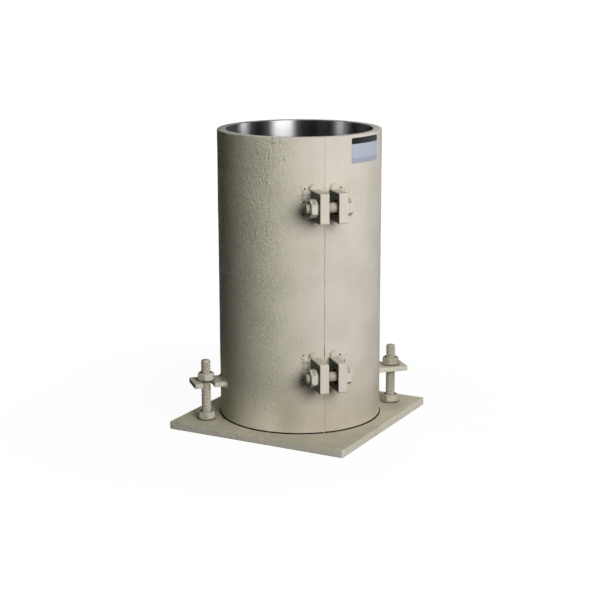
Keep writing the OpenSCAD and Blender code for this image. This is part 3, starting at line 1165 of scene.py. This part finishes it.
def add_clamp(level, z, end, turn, nut_side, head_side):
    """A pair of clamp lugs with its bolt, washer and nut."""
    for side_name, side in ((nut_side, -1), (head_side, 1)):
        lug = f"{side_name}_{level}_{end}_lug"
        add_piece(
            lug + "_look", clamp_lug_mesh(turn, side, z), side_name + "_half", lug,
            [LUG_PAINT, NUT_SIDE_SHADE, GAP_SHADE, HOLLOW_SHADE], weighted=True,
        )
    bolt = f"{level}_{end}_bolt"
    washer = f"{level}_{end}_washer"
    nut = f"{level}_{end}_nut"
    nut_place = at_bolt(turn, z, LUG_OUTER + CLAMP_WASHER_T) @ spin(90)
    add_piece(
        bolt + "_look", bolt_mesh(at_bolt(turn, z, -LUG_OUTER), z + turn), bolt, bolt,
        [FASTENER_PAINT, THREAD_ROOT_SHADE, TOP_FLAT_SHADE, SHANK_SHADE],
    )
    add_piece(
        washer + "_look", washer_mesh(CLAMP_WASHER_T, at_bolt(turn, z, LUG_OUTER)), washer, washer,
        [DARK_STEEL_AND_SHADE, FOOT_NUT_PAINT],
    )
    add_piece(
        nut + "_look", nut_mesh(nut_place, rubbed=True), nut, nut,
        [FASTENER_PAINT, DARK_STEEL_AND_SHADE, TOP_FLAT_SHADE],
    )


add_piece(
    "base_plate_look", plate_mesh(), "base", "base_plate",
    [PLATE_TINTED_PAINT, EDGE_PAINT, SEAT, HOLLOW_SHADE], weighted=True,
)
add_half("left", FRONT, 5, FASTENER_PAINT, STUD_PAINT)
add_half("right", REAR, 11, DARKER_NUT_PAINT, FOOT_NUT_PAINT)
for level, z in LEVELS.items():
    add_clamp(level, z, "front", FRONT, "left", "right")
    add_clamp(level, z, "rear", REAR, "right", "left")
add_piece("blank_label_look", label_mesh(), "right_half", "blank_label", [LABEL])


# Camera: its place in metres and its angles in degrees

CAMERA_AZIMUTH = 27.965
CAMERA_DISTANCE = 1.48317
CAMERA_HEIGHT = 0.47488
FOCAL_PIXELS = 1457.17
FRAME_PIXELS = 600
SENSOR_MM = 36
YAW = 0.009
PITCH = 13.194
ROLL = 0.126


def make_camera():
    data = bpy.data.cameras.new("camera")
    data.sensor_width = SENSOR_MM
    data.lens = FOCAL_PIXELS / FRAME_PIXELS * SENSOR_MM
    camera = bpy.data.objects.new("camera", data)
    bpy.context.scene.collection.objects.link(camera)
    place = spin(CAMERA_AZIMUTH) @ shift(0, -CAMERA_DISTANCE, CAMERA_HEIGHT)
    aim = spin(-YAW) @ spin(90 - PITCH, "X") @ spin(-ROLL)
    camera.matrix_world = place @ aim
    bpy.context.scene.camera = camera


make_camera()


# Floor, background and lights, with lengths in metres

FLOOR_REACH = 40
FLOOR_GREY = (0.06, 0.06, 0.06, 1)
# The floor's own white, from near the mould to far from it
WHITE_FROM, WHITE_TO = 0.15, 0.75
NEAR_WHITE, FAR_WHITE = 0.95, 1.05
# The world as metal shows it: white at the horizon, and nearly black above it
HORIZON = 0.06
CEILING = 0.01
# The world as it lights the mould
AMBIENT = 0.006
AMBIENT_COLOUR = (0.87, 1, 0.87, 1)
LAMP_AIM = 0.15


def seen(tree):
    """1 for rays from the camera and for those that metal or glass sends on."""
    path = tree.nodes.new("ShaderNodeLightPath")
    total = path.outputs["Is Camera Ray"]
    for name in ("Is Glossy Ray", "Is Transmission Ray"):
        total = larger(tree, total, path.outputs[name])
    return total


def studio_floor():
    bm = bmesh.new()
    bmesh.ops.create_grid(bm, x_segments=2, y_segments=2, size=FLOOR_REACH)
    mesh = bpy.data.meshes.new("floor")
    bm.to_mesh(mesh)
    bm.free()
    floor = bpy.data.objects.new("floor", mesh)
    bpy.context.scene.collection.objects.link(floor)
    material = bpy.data.materials.new("floor")
    material.use_nodes = True
    tree = material.node_tree
    tree.nodes.clear()
    out = tree.nodes.new("ShaderNodeOutputMaterial")
    grey = tree.nodes.new("ShaderNodeBsdfDiffuse")
    grey.inputs["Color"].default_value = FLOOR_GREY
    place = tree.nodes.new("ShaderNodeTexCoord")
    reach = tree.nodes.new("ShaderNodeVectorMath")
    reach.operation = "LENGTH"
    tree.links.new(place.outputs["Object"], reach.inputs[0])
    white = map_range(tree, reach.outputs["Value"], WHITE_FROM, WHITE_TO, NEAR_WHITE, FAR_WHITE)
    glow = tree.nodes.new("ShaderNodeEmission")
    tree.links.new(white, glow.inputs["Strength"])
    shown = tree.nodes.new("ShaderNodeAddShader")
    tree.links.new(grey.outputs[0], shown.inputs[0])
    tree.links.new(glow.outputs[0], shown.inputs[1])
    surface = mix_shaders(tree, seen(tree), grey.outputs[0], shown.outputs[0])
    tree.links.new(surface, out.inputs["Surface"])
    mesh.materials.append(material)


def studio_world():
    world = bpy.data.worlds.new("studio")
    bpy.context.scene.world = world
    world.use_nodes = True
    tree = world.node_tree
    tree.nodes.clear()
    out = tree.nodes.new("ShaderNodeOutputWorld")
    way = tree.nodes.new("ShaderNodeTexCoord")
    rise = tree.nodes.new("ShaderNodeSeparateXYZ")
    tree.links.new(way.outputs["Generated"], rise.inputs[0])
    sky = map_range(tree, rise.outputs["Z"], 0, HORIZON, 1, CEILING)
    path = tree.nodes.new("ShaderNodeLightPath")
    white = tree.nodes.new("ShaderNodeBackground")
    tree.links.new(larger(tree, sky, path.outputs["Is Camera Ray"]), white.inputs["Strength"])
    white.inputs["Color"].default_value = (1, 1, 1, 1)
    dim = tree.nodes.new("ShaderNodeBackground")
    dim.inputs["Color"].default_value = AMBIENT_COLOUR
    dim.inputs["Strength"].default_value = AMBIENT
    surface = mix_shaders(tree, seen(tree), dim.outputs[0], white.outputs[0])
    tree.links.new(surface, out.inputs["Surface"])


def softbox(name, azimuth, distance, height, size, watts, colour=(1, 1, 1)):
    """Area light at an azimuth measured from the camera's own, aimed at the mould."""
    data = bpy.data.lights.new(name, "AREA")
    data.shape = "RECTANGLE"
    data.size, data.size_y = size
    data.energy = watts
    data.color = colour
    lamp = bpy.data.objects.new(name, data)
    bpy.context.scene.collection.objects.link(lamp)
    at = spin(CAMERA_AZIMUTH + azimuth) @ Vector((0, -distance, height))
    lamp.location = at
    lamp.rotation_euler = (Vector((0, 0, LAMP_AIM)) - at).to_track_quat("-Z", "Y").to_euler()
    return lamp


studio_floor()
studio_world()
softbox("key", azimuth=28, distance=1.25, height=0.63, size=(0.75, 0.6), watts=16.2)
softbox("side", azimuth=106, distance=0.75, height=0.5, size=(0.26, 0.5), watts=0.8)
softbox("top", azimuth=20, distance=0.1, height=1.6, size=(0.5, 0.5), watts=2.2, colour=(0.9, 1, 0.78))
# Soft light from behind and from the front, without a reflection of its own
rear = softbox("rear", azimuth=178, distance=1.2, height=0.27, size=(0.5, 0.3), watts=7)
rear.visible_glossy = False
fill = softbox("fill", azimuth=16, distance=1.3, height=0.35, size=(0.8, 0.4), watts=1.0)
fill.visible_glossy = False
# Two narrow lamps that only reflections show, as bands in the bore
for name, azimuth in (("left_glint", -72), ("right_glint", 104)):
    glint = softbox(name, azimuth, distance=0.75, height=0.5, size=(0.16, 0.5), watts=1.1)
    glint.visible_diffuse = False

bpy.context.scene.view_settings.view_transform = "Standard"
